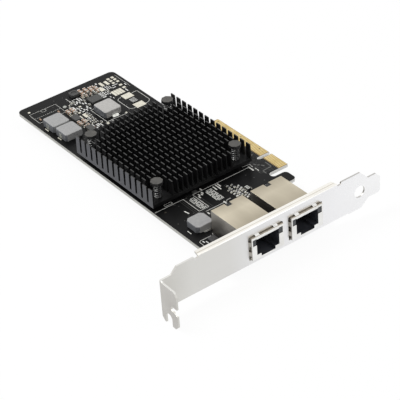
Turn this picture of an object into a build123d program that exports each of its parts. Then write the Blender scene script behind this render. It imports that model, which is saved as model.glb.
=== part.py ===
"""Dual-port network interface card with a pin-fin heatsink and a full-height slot bracket.

Millimetres. The origin is the middle of the key notch, on the insertion edge of the board and
at its component side. +X is the way the card goes into its slot, +Y runs from the bracket to
the tail of the board, and +Z is the component side.
"""

import math
import os

from build123d import *

# board
BOARD_THICK = 1.57
BODY_WIDTH = 56.9
BOARD_LENGTH = 167.65
BOARD_CORNER = 2.8
BODY_INSET = 12.0
FACE_TO_KEY = 57.6
FACE_TO_BOARD = 1.9

# edge connector
KEY_WIDTH = 1.9
KEY_DEPTH = 7.9
SHORT_CONTACTS = 11
LONG_CONTACTS = 38
CONTACT_PITCH = 1.0
CONTACT_WIDTH = 0.7
CONTACT_THICK = 0.04
CONTACT_LENGTH = 4.7
CONTACT_MARGIN = 0.825
EDGE_BEVEL_X = 0.5
EDGE_BEVEL_Z = 0.35
CONNECTOR_CORNER = 0.6

# retention hook beside the connector
HOOK_INSET = 4.4
HOOK_LENGTH = 7.6
HOOK_SLOT = 3.7
HOOK_CORNER = 2.0

# bracket
SHEET = 0.86
BRACKET_LENGTH = 120.02
BRACKET_WIDTH = 18.42
FOLD_INSET = 104.5
FOLD_EDGE_LENGTH = 5.8
FOLD_EDGE_DROP = 3.04
SHOULDER_RUN = 2.9
BEND_R = 0.7
FLANGE_START = 19.8
FLANGE_TO_TIP = 24.72
FLANGE_DEPTH = 3.45
FLANGE_TAPER = 0.65
RELIEF_WIDTH = 2.2
RELIEF_DEPTH = 1.1
LIP_START_INSET = 3.3
LIP_TO_TIP = 19.02
LIP_DEPTH = 3.4
LIP_STEP = 0.5
LUG_WIDTH = 6.0
LUG_DEPTH = 10.5
LUG_INSET = 3.5
TONGUE_LENGTH = 7.0
TONGUE_LOW = 0.8
TONGUE_WIDTH = 10.5
TONGUE_RUN = (4.6, 4.2)
TONGUE_CORNER = (2.4, 1.1)
TONGUE_HOLE_R = 2.95
TONGUE_HOLE_INSET = 12.0

# screw tab
TAB_REACH = 10.57
TAB_DROP = 4.6
TAB_TOP_DROP = 0.55
TAB_CORNER = 2.2
NOTCH_DEPTH = 4.2
NOTCH_LOW = 1.2
NOTCH_WIDTH = 2.6
NOTCH_CORNER = 0.6
SCREW_SLOT_R = 2.21
SCREW_SLOT_OUT = 4.4
SCREW_SLOT_HIGH = 3.3

# bracket screws
SCREW_R = 1.5
SCREW_HOLE_R = 1.6
SCREW_HEAD_R = 2.6
SCREW_HEAD_H = 1.7
SCREW_TIP = 0.6
SCREW_SETBACK = 7.0

# jacks
JACK_WIDTH = 17.4
JACK_HEIGHT = 11.33
JACK_LENGTH = 28.2
JACK_PITCH = 21.76
JACK_INSET = 15.5
JACK_PROUD = 1.4
SHELL = 0.3
PLUG_WIDTH = 12.1
PLUG_LOW = 2.0
PLUG_ROOF = 1.38
PLUG_DEPTH = 13.0
CAVITY_BACK = 1.5
LATCH_WIDTH = 7.6
LATCH_LOW = 0.5
LED_GAP = 0.15
LED_EDGE = 0.6
LED_ROOF = 1.03
LED_HEIGHT = 3.2
LED_DEPTH = 8.0
PORT_GAP_SIDE = 0.72
PORT_GAP_TOP = 0.55
PORT_GAP_LOW = 0.35
PORT_CORNER = 0.8
FINGER_TOP_X = 4.95
FINGER_SIDE_Z = (3.3, 8.3)
FINGER_WIDTH = 2.2
FINGER_SHEET = 0.18
FINGER_RUN = 1.3
REAR_NOTCH_WIDTH = 2.7
REAR_NOTCH_LENGTH = 2.5
WIRE_COUNT = 8
WIRE_PITCH = 1.02
WIRE = 0.32
WIRE_START = 1.6
WIRE_RUN = 9.0
WIRE_TIP_Z = 6.5
TAIL_COLUMNS = 5
TAIL_ROWS = 2
TAIL_PITCH = 2.54
TAIL_SETBACK = 5.0
TAIL = 0.45
TAIL_TIP = 1.3
TAIL_HOLE_R = 0.5
SHELL_TAB_WIDTH = 1.6
SHELL_TAB_SETBACK = 14.0
SHELL_TAB_GAP = 0.1

# controller chip, heatsink and what holds it
CHIP_SIZE = 25.0
CHIP_HEIGHT = 1.5
PAD_THICK = 0.3
SINK_BASE = 1.7
FIN_HEIGHT = 7.58
FIN_COLUMNS = 21
FIN_ROWS = 14
FIN_PITCH_X = 2.75
FIN_PITCH_Y = 4.44
FIN_THICK = 0.85
FIN_LENGTH = 3.2
FIN_DRAFT = 1.4
SINK_TO_TAIL = 83.25
PIN_SPAN_X = 44.0
PIN_SPAN_Y = 52.0
SINK_HOLE_R = 1.6
PIN_HOLE_R = 1.5
PIN_R = 1.35
PIN_PROUD = 0.92
PIN_HEAD_R = 2.95
PIN_HEAD_H = 1.6
BARB_R = 2.0
BARB_TIP = 0.8
BARB_LENGTH = 2.3
BARB_THICK = 2.2
BARB_SLOT = 0.6
BARB_SLOT_LENGTH = 4.2
COIL_R = 2.0
COIL_WALL = 0.45

# parts near the tail: distances from the board's -X edge and from its tail, then the sizes
INDUCTOR_1 = (7.7, 24.05, 9.8, 9.8, 3.6)
INDUCTOR_2 = (8.0, 34.75, 9.8, 9.5, 3.6)
INDUCTOR_3 = (33.4, 30.15, 9.8, 10.6, 3.4)
REGULATOR_1 = (18.0, 25.35, 3.6, 5.0, 1.0)
REGULATOR_2 = (18.3, 37.95, 3.6, 5.0, 1.0)
POWER_CONTROLLER = (34.6, 17.25, 6.4, 5.4, 1.0)
OSCILLATOR = (29.4, 6.35, 4.4, 4.4, 1.4)
OSCILLATOR_CORNER = 0.7
OSCILLATOR_RING_R = 1.5
OSCILLATOR_RING_DEPTH = 0.4
CAPACITORS = [
    (18.0, 18.95, 1.5, 4.0, 1.3),
    (20.3, 18.95, 1.5, 4.0, 1.3),
    (16.7, 30.95, 1.5, 3.8, 1.3),
    (19.3, 30.95, 1.5, 3.8, 1.3),
    (32.7, 7.95, 1.5, 5.4, 1.4),
    (35.5, 7.95, 1.6, 4.4, 1.4),
    (37.9, 8.95, 1.6, 4.4, 1.4),
    (40.3, 9.95, 1.6, 4.4, 1.4),
]

# the inductor behind the jacks: distance from the -X edge and from the jacks, then the sizes
INDUCTOR_4 = (9.7, 7.2, 9.2, 9.2, 3.2)
INDUCTOR_CORNER = 0.8
INDUCTOR_4_CORNER = 1.5
INDUCTOR_RIM = 0.25

# places that follow from the sizes above
BOARD_LOW = -BOARD_THICK
BODY_X = -BODY_INSET
BOARD_X = BODY_X - BODY_WIDTH
FACE_Y = -FACE_TO_KEY
BOARD_Y = FACE_Y + FACE_TO_BOARD
TAIL_Y = BOARD_Y + BOARD_LENGTH
BRACKET_LOW = BOARD_LOW - SHEET
BRACKET_TOP = BRACKET_LOW + BRACKET_WIDTH
FOLD_X = -FOLD_INSET
TONGUE_X = FOLD_X + BRACKET_LENGTH
TONGUE_TOP = TONGUE_LOW + TONGUE_WIDTH
FLANGE_X = (FOLD_X + FLANGE_START, TONGUE_X - FLANGE_TO_TIP)
LIP_X = (BOARD_X + LIP_START_INSET, TONGUE_X - LIP_TO_TIP)
SCREW_Y = FACE_Y + SCREW_SETBACK
JACK_X = (BODY_X - JACK_INSET - JACK_PITCH, BODY_X - JACK_INSET)
LUG_X = ((BOARD_X + JACK_X[0] - JACK_WIDTH / 2) / 2, BODY_X - LUG_INSET)
JACK_FRONT = FACE_Y - JACK_PROUD
JACK_BACK = JACK_FRONT + JACK_LENGTH
CAVITY_FRONT = JACK_FRONT + SHELL
HOUSING_BACK = CAVITY_FRONT + PLUG_DEPTH + CAVITY_BACK
PLUG_TOP = JACK_HEIGHT - PLUG_ROOF
LED_TOP = JACK_HEIGHT - LED_ROOF
LED_LOW = LED_TOP - LED_HEIGHT
LED_X = (PLUG_WIDTH / 2 + LED_GAP, JACK_WIDTH / 2 - LED_EDGE)
SINK_X = (BOARD_X + BODY_X) / 2
SINK_Y = TAIL_Y - SINK_TO_TAIL
SINK_LOW = CHIP_HEIGHT + PAD_THICK
BASE_TOP = SINK_LOW + SINK_BASE
SINK_TOP = BASE_TOP + FIN_HEIGHT
PIN_TOP = SINK_TOP + PIN_PROUD
PIN_NECK = PIN_TOP - PIN_HEAD_H


def block(x0, x1, y0, y1, z0, z1):
    """Box between two opposite corners."""
    return Pos((x0 + x1) / 2, (y0 + y1) / 2, (z0 + z1) / 2) * Box(x1 - x0, y1 - y0, z1 - z0)


def centred_block(x, y, width, length, low, high):
    """Box round an upright axis."""
    return block(x - width / 2, x + width / 2, y - length / 2, y + length / 2, low, high)


def rod(x, y, z0, z1, radius):
    """Upright cylinder."""
    return Pos(x, y, (z0 + z1) / 2) * Cylinder(radius, z1 - z0)


def prism(x, y, z0, z1, radius, sides):
    """Upright prism with a flat side towards +X."""
    shape = RegularPolygon(radius, sides, rotation=180 / sides)
    return Pos(x, y, z0) * extrude(shape, amount=z1 - z0)


def slab(points, z0, z1):
    """Flat sheet in plan, from its corners in X and Y."""
    face = make_face(Polyline([(x, y, z0) for x, y in points], close=True))
    return extrude(face, amount=z1 - z0, dir=(0, 0, 1))


def plate(points, y0, y1):
    """Upright sheet across Y, from its corners in X and Z."""
    face = make_face(Polyline([(x, y0, z) for x, z in points], close=True))
    return extrude(face, amount=y1 - y0, dir=(0, 1, 0))


def rib(points, x0, x1):
    """Sheet across X, from its corners in Y and Z."""
    face = make_face(Polyline([(x0, y, z) for y, z in points], close=True))
    return extrude(face, amount=x1 - x0, dir=(1, 0, 0))


def round_upright(solid, spots, radius):
    """Round the upright edges that stand at the given places in plan."""
    chosen = []
    for edge in solid.edges().filter_by(Axis.Z):
        middle = edge.center()
        if any(math.dist((middle.X, middle.Y), spot) < 0.05 for spot in spots):
            chosen.append(edge)
    return fillet(chosen, radius)


def round_crease(solid, span, y, z, radius):
    """Round the edges along X that lie at one height and depth, within a span of X."""
    chosen = []
    for edge in solid.edges().filter_by(Axis.X):
        middle = edge.center()
        if span[0] < middle.X < span[1] and math.dist((middle.Y, middle.Z), (y, z)) < 0.01:
            chosen.append(edge)
    return fillet(chosen, radius)


def pin_places():
    """Axes of the four push pins."""
    return [
        (SINK_X + side * PIN_SPAN_X / 2, SINK_Y + end * PIN_SPAN_Y / 2)
        for end in (-1, 1)
        for side in (-1, 1)
    ]


def contact_rows():
    """Middle of every edge contact along Y, on both sides of the key notch."""
    first = KEY_WIDTH / 2 + CONTACT_MARGIN
    short = [-first - CONTACT_PITCH * i for i in range(SHORT_CONTACTS)]
    long = [first + CONTACT_PITCH * i for i in range(LONG_CONTACTS)]
    return short + long


def connector_ends():
    """First and last Y of the edge connector."""
    rows = contact_rows()
    return min(rows) - CONTACT_MARGIN, max(rows) + CONTACT_MARGIN


def tail_places(x):
    """Axes of the solder tails of one jack."""
    first = x - TAIL_PITCH * (TAIL_COLUMNS - 1) / 2
    return [
        (first + TAIL_PITCH * column, JACK_BACK - TAIL_SETBACK - TAIL_PITCH * row)
        for row in range(TAIL_ROWS)
        for column in range(TAIL_COLUMNS)
    ]


def shell_tab(x, side, gap=0.0):
    """Tab of a jack shell that goes down through the board; side is -1 or 1."""
    outer = x + side * (JACK_WIDTH / 2 + gap)
    inner = x + side * (JACK_WIDTH / 2 - SHELL - gap)
    middle = JACK_BACK - SHELL_TAB_SETBACK
    half = SHELL_TAB_WIDTH / 2 + gap
    low = BOARD_LOW - TAIL_TIP - gap
    return block(min(inner, outer), max(inner, outer), middle - half, middle + half, low, 0.1)


def circuit_board():
    low, high = connector_ends()
    slot_low = low - HOOK_SLOT
    hook_low = slot_low - HOOK_LENGTH
    outline = [
        (BOARD_X, BOARD_Y),
        (BODY_X, BOARD_Y),
        (BODY_X, hook_low),
        (-HOOK_INSET, hook_low),
        (-HOOK_INSET, slot_low),
        (BODY_X, slot_low),
        (BODY_X, low),
        (0, low),
        (0, high),
        (BODY_X, high),
        (BODY_X, TAIL_Y),
        (BOARD_X, TAIL_Y),
    ]
    board = slab(outline, BOARD_LOW, 0)
    board = round_upright(board, [(BODY_X, TAIL_Y), (BOARD_X, TAIL_Y)], BOARD_CORNER)
    board = round_upright(board, [(BODY_X, slot_low), (BODY_X, low)], HOOK_SLOT * 0.49)
    tips = [(-HOOK_INSET, hook_low), (-HOOK_INSET, slot_low)]
    board = round_upright(board, tips, HOOK_CORNER)
    board = round_upright(board, [(0, low), (0, high)], CONNECTOR_CORNER)
    half = KEY_WIDTH / 2
    board -= block(-KEY_DEPTH + half, 1, -half, half, BOARD_LOW - 1, 1)
    board -= rod(-KEY_DEPTH + half, 0, BOARD_LOW - 1, 1, half)
    for face, inward in ((0, -1), (BOARD_LOW, 1)):
        corner = [(-EDGE_BEVEL_X, face), (0, face + inward * EDGE_BEVEL_Z), (0.5, face)]
        board -= plate(corner, low - 0.5, high + 0.5)
    for x, y in pin_places():
        board -= rod(x, y, BOARD_LOW - 1, 1, PIN_HOLE_R)
    for x in LUG_X:
        board -= rod(x, SCREW_Y, BOARD_LOW - 1, 1, SCREW_HOLE_R)
    for jack in JACK_X:
        for x, y in tail_places(jack):
            board -= prism(x, y, BOARD_LOW - 1, 1, TAIL_HOLE_R, 6)
        for side in (-1, 1):
            board -= shell_tab(jack, side, SHELL_TAB_GAP)
    return board


def edge_contacts():
    half = CONTACT_WIDTH / 2
    back = -EDGE_BEVEL_X - CONTACT_LENGTH
    pads = []
    for y in contact_rows():
        for z0, z1 in ((0, CONTACT_THICK), (BOARD_LOW - CONTACT_THICK, BOARD_LOW)):
            pads.append(block(back, -EDGE_BEVEL_X, y - half, y + half, z0, z1))
    return Compound(children=pads)


def bracket_face():
    """Flat sheet of the bracket, with its tongue, its two port openings and its round hole."""
    fold_edge = BRACKET_TOP - FOLD_EDGE_DROP
    relief = BRACKET_TOP - RELIEF_DEPTH
    left, right = FLANGE_X
    neck = TONGUE_X - TONGUE_LENGTH
    big, small = TONGUE_CORNER
    outline = [
        (FOLD_X, fold_edge),
        (FOLD_X + FOLD_EDGE_LENGTH, fold_edge),
        (FOLD_X + FOLD_EDGE_LENGTH + SHOULDER_RUN, BRACKET_TOP),
        (left - RELIEF_WIDTH, BRACKET_TOP),
        (left - RELIEF_WIDTH, relief),
        (left, relief),
        (left, BRACKET_TOP),
        (right, BRACKET_TOP),
        (right, relief),
        (right + RELIEF_WIDTH, relief),
        (right + RELIEF_WIDTH, BRACKET_TOP),
        (neck - TONGUE_RUN[0], BRACKET_TOP),
        (neck, TONGUE_TOP),
        (TONGUE_X - big, TONGUE_TOP),
        (TONGUE_X, TONGUE_TOP - big),
        (TONGUE_X, TONGUE_LOW + small),
        (TONGUE_X - small, TONGUE_LOW),
        (neck, TONGUE_LOW),
        (neck - TONGUE_RUN[1], BRACKET_LOW - LIP_STEP),
        (LIP_X[1] + LIP_STEP, BRACKET_LOW - LIP_STEP),
        (LIP_X[1], BRACKET_LOW),
        (FOLD_X, BRACKET_LOW),
    ]
    face = plate(outline, FACE_Y, FACE_Y + SHEET)
    for x in JACK_X:
        face -= port_cut(x)
    hole = Rot(90, 0, 0) * Cylinder(TONGUE_HOLE_R, 4 * SHEET)
    middle = TONGUE_LOW + TONGUE_WIDTH / 2
    face -= Pos(TONGUE_X - TONGUE_HOLE_INSET, FACE_Y, middle) * hole
    return face


def port_cut(x):
    """Opening in the bracket round one jack."""
    half = JACK_WIDTH / 2 + PORT_GAP_SIDE
    top = JACK_HEIGHT + PORT_GAP_TOP
    outline = [
        (x - half, -PORT_GAP_LOW),
        (x + half, -PORT_GAP_LOW),
        (x + half, top - PORT_CORNER),
        (x + half - PORT_CORNER, top),
        (x - half + PORT_CORNER, top),
        (x - half, top - PORT_CORNER),
    ]
    return plate(outline, FACE_Y - 1, FACE_Y + SHEET + 1)


def screw_tab():
    """Tab at the end of the bracket, bent outwards, with an open screw slot and a side notch."""
    end = FACE_Y - TAB_REACH
    fold_edge = BRACKET_TOP - FOLD_EDGE_DROP
    top = fold_edge - TAB_TOP_DROP
    low = BRACKET_LOW - TAB_DROP
    back = FACE_Y + SHEET
    outline = [
        (back, fold_edge),
        (FACE_Y - TAB_TOP_DROP, fold_edge),
        (FACE_Y - 2 * TAB_TOP_DROP, top),
        (end + TAB_CORNER, top),
        (end + TAB_CORNER * 0.3, top - TAB_CORNER * 0.3),
        (end, top - TAB_CORNER),
        (end, low + TAB_CORNER * 0.8),
        (end + TAB_CORNER * 0.8, low),
        (back - TAB_CORNER, low),
        (back, low + TAB_CORNER),
    ]
    tab = rib(outline, FOLD_X, FOLD_X + SHEET)
    notch_high = NOTCH_LOW + NOTCH_WIDTH
    notch_end = end + NOTCH_DEPTH
    notch = [
        (end - 1, NOTCH_LOW - 1.5 * NOTCH_CORNER),
        (end + NOTCH_CORNER, NOTCH_LOW - 1.5 * NOTCH_CORNER),
        (end + 3 * NOTCH_CORNER, NOTCH_LOW),
        (notch_end - NOTCH_CORNER, NOTCH_LOW),
        (notch_end, NOTCH_LOW + NOTCH_CORNER),
        (notch_end, notch_high - NOTCH_CORNER),
        (notch_end - NOTCH_CORNER, notch_high),
        (end - 1, notch_high),
    ]
    tab -= rib(notch, FOLD_X - 1, FOLD_X + SHEET + 1)
    centre = FACE_Y - SCREW_SLOT_OUT
    high = low + SCREW_SLOT_HIGH
    axle = Rot(0, 90, 0) * Cylinder(SCREW_SLOT_R, 4 * SHEET)
    tab -= Pos(FOLD_X, centre, high) * axle
    sides = (centre - SCREW_SLOT_R, centre + SCREW_SLOT_R)
    tab -= block(FOLD_X - 1, FOLD_X + SHEET + 1, *sides, low - 1, high)
    return tab


def bracket():
    """One folded sheet: face, tongue, screw tab, top flange, and lip and lugs under the board."""
    sheet = bracket_face() + screw_tab()
    left, right = FLANGE_X
    flange = [
        (left, FACE_Y),
        (right, FACE_Y),
        (right - FLANGE_TAPER, FACE_Y + FLANGE_DEPTH),
        (left + FLANGE_TAPER, FACE_Y + FLANGE_DEPTH),
    ]
    sheet += slab(flange, BRACKET_TOP - SHEET, BRACKET_TOP)
    sheet += block(*LIP_X, FACE_Y, FACE_Y + LIP_DEPTH, BRACKET_LOW, BOARD_LOW)
    for x in LUG_X:
        middle = FACE_Y + LUG_DEPTH / 2
        sheet += centred_block(x, middle, LUG_WIDTH, LUG_DEPTH, BRACKET_LOW, BOARD_LOW)
        sheet -= rod(x, SCREW_Y, BRACKET_LOW - 1, BOARD_LOW + 1, SCREW_R)
    sheet = round_upright(sheet, [(FOLD_X, FACE_Y + SHEET)], BEND_R)
    return round_crease(sheet, FLANGE_X, FACE_Y, BRACKET_TOP, BEND_R)


def bracket_screws():
    screws = []
    for x in LUG_X:
        shank = rod(x, SCREW_Y, BRACKET_LOW - SCREW_TIP, 0, SCREW_R)
        screws.append(shank + rod(x, SCREW_Y, 0, SCREW_HEAD_H, SCREW_HEAD_R))
    return Compound(children=screws)


def finger_profile(gap):
    """Bowed grounding tongue: place along Y, and how far out, up to the edge of the opening."""
    back = FACE_Y + SHEET
    start = JACK_FRONT + SHELL
    return [
        (start, 0),
        (FACE_Y, gap),
        (back, gap),
        (back + FINGER_RUN, 0),
        (back + FINGER_RUN - SHELL, 0),
        (back - FINGER_SHEET, gap - FINGER_SHEET),
        (FACE_Y + FINGER_SHEET, gap - FINGER_SHEET),
        (start + SHELL, 0),
    ]


def top_finger(x):
    outline = [(y, JACK_HEIGHT + out) for y, out in finger_profile(PORT_GAP_TOP)]
    return rib(outline, x - FINGER_WIDTH / 2, x + FINGER_WIDTH / 2)


def side_finger(x, side, z):
    """Grounding tongue on a side wall; side is -1 or 1."""
    outline = [(x + side * out, y) for y, out in finger_profile(PORT_GAP_SIDE)]
    return slab(outline, z - FINGER_WIDTH / 2, z + FINGER_WIDTH / 2)


def front_window(x):
    """Opening in the front of a jack shell: plug, latch and the two light windows."""
    plug = PLUG_WIDTH / 2
    latch = LATCH_WIDTH / 2
    lamp = LED_X[1]
    outline = [
        (x - latch, LATCH_LOW),
        (x + latch, LATCH_LOW),
        (x + latch, PLUG_LOW),
        (x + plug, PLUG_LOW),
        (x + plug, LED_LOW),
        (x + lamp, LED_LOW),
        (x + lamp, LED_TOP),
        (x + plug, LED_TOP),
        (x + plug, PLUG_TOP),
        (x - plug, PLUG_TOP),
        (x - plug, LED_TOP),
        (x - lamp, LED_TOP),
        (x - lamp, LED_LOW),
        (x - plug, LED_LOW),
        (x - plug, PLUG_LOW),
        (x - latch, PLUG_LOW),
    ]
    return plate(outline, JACK_FRONT - 1, JACK_FRONT + SHELL)


def jack_shell(x):
    """Folded metal shield of one jack, open underneath, with two tabs through the board."""
    half = JACK_WIDTH / 2
    inner = half - SHELL
    roof = JACK_HEIGHT - SHELL
    shell = block(x - half, x + half, JACK_FRONT, JACK_BACK, 0, JACK_HEIGHT)
    shell -= block(x - inner, x + inner, CAVITY_FRONT, JACK_BACK - SHELL, -1, roof)
    shell -= front_window(x)
    notch_start = JACK_BACK - REAR_NOTCH_LENGTH
    notch = REAR_NOTCH_WIDTH / 2
    shell -= block(x - notch, x + notch, notch_start, JACK_BACK + 1, roof, JACK_HEIGHT + 1)
    for side in (-1, 1):
        shell += shell_tab(x, side)
        shell += top_finger(x + side * FINGER_TOP_X)
        for z in FINGER_SIDE_Z:
            shell += side_finger(x + side * half, side, z)
    return shell


def jack_housing(x):
    """Plastic body with the stepped plug cavity and a channel for each light pipe."""
    half = JACK_WIDTH / 2 - SHELL
    body = block(x - half, x + half, CAVITY_FRONT, HOUSING_BACK, 0, JACK_HEIGHT - SHELL)
    plug = PLUG_WIDTH / 2
    latch = LATCH_WIDTH / 2
    depth = (CAVITY_FRONT - 1, CAVITY_FRONT + PLUG_DEPTH)
    body -= block(x - plug, x + plug, *depth, PLUG_LOW, PLUG_TOP)
    body -= block(x - latch, x + latch, *depth, LATCH_LOW, PLUG_TOP)
    for side in (-1, 1):
        body -= led_window(x, side)
    return body


def led_window(x, side):
    """Light pipe in an upper corner of a jack; side is -1 or 1."""
    start, end = sorted((x + side * LED_X[0], x + side * LED_X[1]))
    return block(start, end, CAVITY_FRONT, CAVITY_FRONT + LED_DEPTH, LED_LOW, LED_TOP)


def jack_contacts(x):
    """Sprung wires that slope down from the roof of the plug cavity."""
    start = CAVITY_FRONT + WIRE_START
    end = start + WIRE_RUN
    outline = [
        (start, PLUG_TOP),
        (start + WIRE, PLUG_TOP),
        (end, WIRE_TIP_Z + WIRE),
        (end - WIRE / 2, WIRE_TIP_Z),
    ]
    wires = []
    for i in range(WIRE_COUNT):
        middle = x + (i - (WIRE_COUNT - 1) / 2) * WIRE_PITCH
        wires.append(rib(outline, middle - WIRE / 2, middle + WIRE / 2))
    return Compound(children=wires)


def jack_magnetics(x):
    """Sealed block of transformers behind the plug cavity."""
    half = JACK_WIDTH / 2 - SHELL
    return block(x - half, x + half, HOUSING_BACK, JACK_BACK - SHELL, 0, JACK_HEIGHT - SHELL)


def jack_tails(x):
    """Solder tails from the sealed block down through the board."""
    low = BOARD_LOW - TAIL_TIP
    tails = [centred_block(*place, TAIL, TAIL, low, 0) for place in tail_places(x)]
    return Compound(children=tails)


def near_pin(x, y):
    """True for a fin that makes way for a push pin."""
    reach_x, reach_y = 1.5 * FIN_PITCH_X, FIN_PITCH_Y
    return any(abs(x - px) < reach_x and abs(y - py) < reach_y for px, py in pin_places())


def heatsink():
    """Block of tapered pin fins in rows, with its fins left out round each push pin."""
    first_x = SINK_X - FIN_PITCH_X * (FIN_COLUMNS - 1) / 2
    first_y = SINK_Y - FIN_PITCH_Y * (FIN_ROWS - 1) / 2
    width = FIN_PITCH_X * (FIN_COLUMNS - 1) + FIN_THICK
    length = FIN_PITCH_Y * (FIN_ROWS - 1) + FIN_LENGTH
    fin = extrude(Rectangle(FIN_THICK, FIN_LENGTH), amount=FIN_HEIGHT, taper=FIN_DRAFT)
    fins = []
    for column in range(FIN_COLUMNS):
        x = first_x + FIN_PITCH_X * column
        for row in range(FIN_ROWS):
            y = first_y + FIN_PITCH_Y * row
            if not near_pin(x, y):
                fins.append(Pos(x, y, BASE_TOP) * fin)
    sink = centred_block(SINK_X, SINK_Y, width, length, SINK_LOW, BASE_TOP).fuse(*fins)
    for x, y in pin_places():
        sink -= rod(x, y, SINK_LOW - 1, BASE_TOP + 1, SINK_HOLE_R)
    return sink


def push_pin(x, y):
    """Plastic pin with an octagonal head and a split, barbed tip under the board."""
    pin = prism(x, y, PIN_NECK, PIN_TOP, PIN_HEAD_R, 8)
    pin += prism(x, y, BOARD_LOW, PIN_NECK, PIN_R, 8)
    tip = BOARD_LOW - BARB_LENGTH
    barb = [
        (x - BARB_R, BOARD_LOW),
        (x + BARB_R, BOARD_LOW),
        (x + BARB_TIP, tip),
        (x - BARB_TIP, tip),
    ]
    pin += plate(barb, y - BARB_THICK / 2, y + BARB_THICK / 2)
    slot = (tip - 1, tip + BARB_SLOT_LENGTH)
    return pin - centred_block(x, y, BARB_SLOT, 4 * BARB_THICK, *slot)


def push_pin_spring(x, y):
    """Space taken by the coil spring between the heatsink and the pin's head."""
    coil = prism(x, y, BASE_TOP, PIN_NECK, COIL_R, 8)
    return coil - prism(x, y, BASE_TOP - 1, PIN_NECK + 1, COIL_R - COIL_WALL, 8)


def near_tail(across, back, width, length, height):
    """Flat part on the board, placed from the board's -X edge and its tail."""
    return centred_block(BOARD_X + across, TAIL_Y - back, width, length, 0, height)


def behind_jacks(across, back, width, length, height):
    """Flat part on the board, placed from the board's -X edge and the back of the jacks."""
    return centred_block(BOARD_X + across, JACK_BACK + back, width, length, 0, height)


def inductor(body, corner=INDUCTOR_CORNER):
    """Moulded inductor from its plain block."""
    body = chamfer(body.edges().filter_by(Axis.Z), corner)
    return chamfer(body.faces().sort_by(Axis.Z)[-1].edges(), INDUCTOR_RIM)


def oscillator():
    """Small square can with cut corners and a round sunk top."""
    across, back, width, length, height = OSCILLATOR
    can = chamfer(near_tail(*OSCILLATOR).edges().filter_by(Axis.Z), OSCILLATOR_CORNER)
    floor = height - OSCILLATOR_RING_DEPTH
    return can - rod(BOARD_X + across, TAIL_Y - back, floor, height + 1, OSCILLATOR_RING_R)


def all_parts():
    parts = {
        "circuit_board": circuit_board(),
        "edge_contacts": edge_contacts(),
        "bracket": bracket(),
        "bracket_screws": bracket_screws(),
        "controller_chip": centred_block(SINK_X, SINK_Y, CHIP_SIZE, CHIP_SIZE, 0, CHIP_HEIGHT),
        "thermal_pad": centred_block(SINK_X, SINK_Y, CHIP_SIZE, CHIP_SIZE, CHIP_HEIGHT, SINK_LOW),
        "heatsink": heatsink(),
        "inductor_1": inductor(near_tail(*INDUCTOR_1)),
        "inductor_2": inductor(near_tail(*INDUCTOR_2)),
        "inductor_3": inductor(near_tail(*INDUCTOR_3)),
        "inductor_4": inductor(behind_jacks(*INDUCTOR_4), INDUCTOR_4_CORNER),
        "regulator_1": near_tail(*REGULATOR_1),
        "regulator_2": near_tail(*REGULATOR_2),
        "power_controller": near_tail(*POWER_CONTROLLER),
        "oscillator": oscillator(),
        "capacitors": Compound(children=[near_tail(*measures) for measures in CAPACITORS]),
    }
    for number, (x, y) in enumerate(pin_places(), start=1):
        parts[f"push_pin_{number}"] = push_pin(x, y)
        parts[f"push_pin_spring_{number}"] = push_pin_spring(x, y)
    for number, x in enumerate(JACK_X, start=1):
        parts[f"jack_shell_{number}"] = jack_shell(x)
        parts[f"jack_housing_{number}"] = jack_housing(x)
        parts[f"jack_contacts_{number}"] = jack_contacts(x)
        parts[f"jack_magnetics_{number}"] = jack_magnetics(x)
        parts[f"jack_tails_{number}"] = jack_tails(x)
        parts[f"led_window_{number}_left"] = led_window(x, -1)
        parts[f"led_window_{number}_right"] = led_window(x, 1)
    return parts


os.makedirs("parts", exist_ok=True)
for node, shape in all_parts().items():
    export_step(shape, f"parts/{node}.step")
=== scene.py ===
"""Looks of the dual-port network card: materials, small parts, printed marks, light and camera.

Lengths are in millimetres, and MM turns them into metres. Places on the board are an X in the
frame of the card and a distance back from the bracket's outer face.
"""

import math
import random

import bmesh
import bpy
from mathutils import Matrix, Vector

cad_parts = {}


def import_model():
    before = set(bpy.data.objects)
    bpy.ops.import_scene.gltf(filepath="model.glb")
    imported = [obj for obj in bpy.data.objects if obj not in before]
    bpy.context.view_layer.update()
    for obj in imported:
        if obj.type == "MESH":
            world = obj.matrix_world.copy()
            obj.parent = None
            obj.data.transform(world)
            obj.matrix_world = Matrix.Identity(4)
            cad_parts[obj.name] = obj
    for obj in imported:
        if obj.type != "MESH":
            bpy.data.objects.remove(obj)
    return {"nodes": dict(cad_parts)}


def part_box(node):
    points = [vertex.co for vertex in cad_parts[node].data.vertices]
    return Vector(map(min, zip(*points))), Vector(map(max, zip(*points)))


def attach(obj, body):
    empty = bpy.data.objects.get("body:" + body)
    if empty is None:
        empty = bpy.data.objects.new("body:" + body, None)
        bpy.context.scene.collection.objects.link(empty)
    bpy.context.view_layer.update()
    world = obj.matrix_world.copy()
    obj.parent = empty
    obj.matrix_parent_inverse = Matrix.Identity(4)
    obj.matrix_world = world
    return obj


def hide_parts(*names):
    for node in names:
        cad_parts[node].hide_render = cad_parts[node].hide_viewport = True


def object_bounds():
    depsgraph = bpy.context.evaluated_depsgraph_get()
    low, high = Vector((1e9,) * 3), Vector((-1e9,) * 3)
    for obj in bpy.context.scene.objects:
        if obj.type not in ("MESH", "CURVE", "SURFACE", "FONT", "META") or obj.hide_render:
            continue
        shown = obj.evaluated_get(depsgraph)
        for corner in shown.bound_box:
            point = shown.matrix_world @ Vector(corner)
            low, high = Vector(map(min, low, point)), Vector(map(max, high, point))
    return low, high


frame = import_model()
CAD_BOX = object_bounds()
NODES = frame["nodes"]

MM = 0.001

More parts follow.
